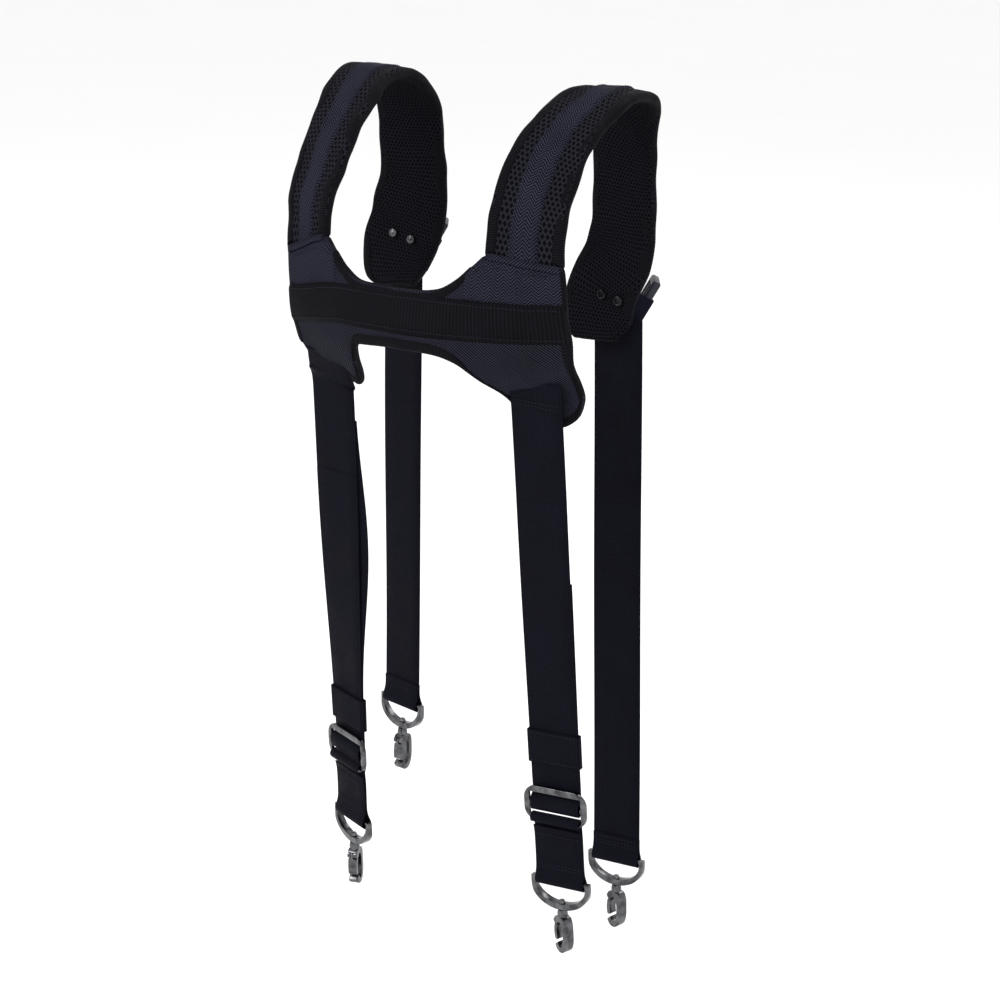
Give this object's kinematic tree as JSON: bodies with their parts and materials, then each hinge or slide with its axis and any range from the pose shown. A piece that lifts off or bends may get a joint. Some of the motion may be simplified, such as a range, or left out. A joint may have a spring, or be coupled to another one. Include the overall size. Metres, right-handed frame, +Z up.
{
  "type": "tool belt suspenders",
  "caption": "Padded shoulder harness for a tool belt: back panel, shoulder pads and adjustable webbing straps ending in D-rings with swivel snap hooks.",
  "frame": {"origin": "midway between the two shoulder arches, level with the top of the pads, where the harness hangs from the shoulders", "axes": "+Z up along the hanging straps, +X towards the wearer's right, +Y from the back panel towards the chest"},
  "size_m": [0.3343, 0.2765, 0.8256],
  "materials": {
    "twill": "woven twill, matt",
    "mesh_fabric": "open air mesh, matt",
    "foam": "soft closed-cell foam",
    "webbing": "tight polyester weave, slight sheen",
    "gunmetal": "dark nickel plate, polished",
    "steel": "satin",
    "dark_rivet": "black enamel",
    "bright_rivet": "nickel plate",
    "buckle_plastic": "moulded satin plastic"
  },
  "bodies": {
    "harness": {"yoke_lining": "mesh_fabric", "yoke_foam": "foam", "yoke_cover": "twill", "yoke_band": "webbing", "yoke_patch_right": "twill", "yoke_patch_left": "twill", "pad_lining_right": "mesh_fabric", "pad_foam_right": "foam", "pad_cover_right": "mesh_fabric", "pad_strip_right": "twill", "pad_rivet_inner_right": "dark_rivet", "pad_rivet_outer_right": "dark_rivet", "strap_anchor_right": "webbing", "pad_lining_left": "mesh_fabric", "pad_foam_left": "foam", "pad_cover_left": "mesh_fabric", "pad_strip_left": "twill", "pad_rivet_inner_left": "bright_rivet", "pad_rivet_outer_left": "bright_rivet", "strap_anchor_left": "webbing"},
    "strap_back_right": {"back_strap_right": "webbing"},
    "keeper_right": {"strap_keeper_right": "webbing"},
    "slider_right": {"strap_slider_right": "gunmetal", "drop_strap_right": "webbing"},
    "ring_back_right": {"dring_back_right": "gunmetal"},
    "hook_back_right": {"swivel_post_back_right": "steel", "hook_body_back_right": "gunmetal", "gate_pin_back_right": "steel", "gate_spring_back_right": "steel"},
    "gate_back_right": {"hook_gate_back_right": "gunmetal"},
    "strap_back_left": {"back_strap_left": "webbing"},
    "keeper_left": {"strap_keeper_left": "webbing"},
    "slider_left": {"strap_slider_left": "gunmetal", "drop_strap_left": "webbing"},
    "ring_back_left": {"dring_back_left": "gunmetal"},
    "hook_back_left": {"swivel_post_back_left": "steel", "hook_body_back_left": "gunmetal", "gate_pin_back_left": "steel", "gate_spring_back_left": "steel"},
    "gate_back_left": {"hook_gate_back_left": "gunmetal"},
    "strap_chest_right": {"chest_strap_right": "webbing"},
    "loop_right": {"strap_loop_right": "webbing"},
    "ring_chest_right": {"dring_chest_right": "gunmetal"},
    "hook_chest_right": {"swivel_post_chest_right": "steel", "hook_body_chest_right": "gunmetal", "gate_pin_chest_right": "steel", "gate_spring_chest_right": "steel"},
    "gate_chest_right": {"hook_gate_chest_right": "gunmetal"},
    "buckle_right": {"buckle_right": "buckle_plastic", "buckle_tab_right": "webbing"},
    "strap_chest_left": {"chest_strap_left": "webbing"},
    "loop_left": {"strap_loop_left": "webbing"},
    "ring_chest_left": {"dring_chest_left": "gunmetal"},
    "hook_chest_left": {"swivel_post_chest_left": "steel", "hook_body_chest_left": "gunmetal", "gate_pin_chest_left": "steel", "gate_spring_chest_left": "steel"},
    "gate_chest_left": {"hook_gate_chest_left": "gunmetal"},
    "buckle_left": {"buckle_left": "buckle_plastic", "buckle_tab_left": "webbing"}
  },
  "joints": [
    {"name": "back_strap_swing_right", "type": "hinge", "parent": "harness", "child": "strap_back_right", "pos_m": [0.116, -0.091, -0.286], "axis": [-0.9991, -0.0159, -0.0396], "range_deg": [-12, 60]},
    {"name": "keeper_slide_right", "type": "slide", "parent": "strap_back_right", "child": "keeper_right", "axis": [0.0389, 0.0389, -0.9985], "range_m": [-0.12, 0]},
    {"name": "slider_adjust_right", "type": "slide", "parent": "strap_back_right", "child": "slider_right", "axis": [0.0389, 0.0389, -0.9985], "range_m": [-0.015, 0.15], "deforming": ["back_strap_right"]},
    {"name": "ring_swing_back_right", "type": "hinge", "parent": "slider_right", "child": "ring_back_right", "pos_m": [0.133, -0.074, -0.722], "axis": [-0.9991, -0.0159, -0.0396], "range_deg": [-30, 75]},
    {"name": "hook_swivel_back_right", "type": "hinge", "parent": "ring_back_right", "child": "hook_back_right", "pos_m": [0.13407, -0.07293, -0.74946], "axis": [-0.0389, -0.0389, 0.9985], "continuous": true},
    {"name": "gate_open_back_right", "type": "hinge", "parent": "hook_back_right", "child": "gate_back_right", "pos_m": [0.12959, -0.07032, -0.76215], "axis": [-0.3904, -0.9192, -0.0511], "range_deg": [0, 18], "stiffness_Nm_per_rad": 0.05},
    {"name": "back_strap_swing_left", "type": "hinge", "parent": "harness", "child": "strap_back_left", "pos_m": [-0.098, -0.091, -0.292], "axis": [-0.9136, 0.4064, 0.0102], "range_deg": [-12, 60]},
    {"name": "keeper_slide_left", "type": "slide", "parent": "strap_back_left", "child": "keeper_left", "axis": [0.0048, 0.0359, -0.9993], "range_m": [-0.12, 0]},
    {"name": "slider_adjust_left", "type": "slide", "parent": "strap_back_left", "child": "slider_left", "axis": [0.0048, 0.0359, -0.9993], "range_m": [-0.005, 0.15], "deforming": ["back_strap_left"]},
    {"name": "ring_swing_back_left", "type": "hinge", "parent": "slider_left", "child": "ring_back_left", "pos_m": [-0.096, -0.076, -0.71], "axis": [-0.9136, 0.4064, 0.0102], "range_deg": [-30, 75]},
    {"name": "hook_swivel_back_left", "type": "hinge", "parent": "ring_back_left", "child": "hook_back_left", "pos_m": [-0.09587, -0.07501, -0.73748], "axis": [-0.0048, -0.0359, 0.9993], "continuous": true},
    {"name": "gate_open_back_left", "type": "hinge", "parent": "hook_back_left", "child": "gate_back_left", "pos_m": [-0.0945, -0.0798, -0.75026], "axis": [0.9702, 0.2419, 0.0133], "range_deg": [0, 18], "stiffness_Nm_per_rad": 0.05},
    {"name": "chest_strap_swing_right", "type": "hinge", "parent": "harness", "child": "strap_chest_right", "pos_m": [0.102, 0.076, -0.248], "axis": [0.9996, 0.0008, 0.0274], "range_deg": [-12, 60]},
    {"name": "chest_strap_adjust_right", "type": "slide", "parent": "strap_chest_right", "child": "loop_right", "axis": [-0.0274, 0.0274, 0.9992], "range_m": [0, 0.15], "deforming": ["chest_strap_right"]},
    {"name": "ring_swing_chest_right", "type": "hinge", "parent": "loop_right", "child": "ring_chest_right", "pos_m": [0.116, 0.062, -0.758], "axis": [0.9996, 0.0008, 0.0274], "range_deg": [-30, 75]},
    {"name": "hook_swivel_chest_right", "type": "hinge", "parent": "ring_chest_right", "child": "hook_chest_right", "pos_m": [0.11675, 0.06125, -0.78548], "axis": [-0.0274, 0.0274, 0.9992], "continuous": true},
    {"name": "gate_open_chest_right", "type": "hinge", "parent": "hook_chest_right", "child": "gate_chest_right", "pos_m": [0.11189, 0.06229, -0.79825], "axis": [-0.2587, -0.9658, 0.0194], "range_deg": [0, 18], "stiffness_Nm_per_rad": 0.05},
    {"name": "buckle_tilt_right", "type": "hinge", "parent": "harness", "child": "buckle_right", "pos_m": [0.10429, 0.07857, -0.215], "axis": [-0.4286, -0.2575, -0.866], "range_deg": [0, 25]},
    {"name": "chest_strap_swing_left", "type": "hinge", "parent": "harness", "child": "strap_chest_left", "pos_m": [-0.133, 0.077, -0.234], "axis": [0.9613, -0.2751, 0.0169], "range_deg": [-12, 60]},
    {"name": "chest_strap_adjust_left", "type": "slide", "parent": "strap_chest_left", "child": "loop_left", "axis": [-0.0072, 0.0362, 0.9993], "range_m": [0, 0.15], "deforming": ["chest_strap_left"]},
    {"name": "ring_swing_chest_left", "type": "hinge", "parent": "loop_left", "child": "ring_chest_left", "pos_m": [-0.13, 0.062, -0.648], "axis": [0.9613, -0.2751, 0.0169], "range_deg": [-30, 75]},
    {"name": "hook_swivel_chest_left", "type": "hinge", "parent": "ring_chest_left", "child": "hook_chest_left", "pos_m": [-0.1298, 0.061, -0.67548], "axis": [-0.0072, 0.0362, 0.9993], "continuous": true},
    {"name": "gate_open_chest_left", "type": "hinge", "parent": "hook_chest_left", "child": "gate_chest_left", "pos_m": [-0.13018, 0.05517, -0.68788], "axis": [0.9962, -0.0867, 0.0104], "range_deg": [0, 18], "stiffness_Nm_per_rad": 0.05},
    {"name": "buckle_tilt_left", "type": "hinge", "parent": "harness", "child": "buckle_left", "pos_m": [-0.12871, 0.08557, -0.187], "axis": [-0.4286, -0.2575, -0.866], "range_deg": [0, 25]}
  ]
}
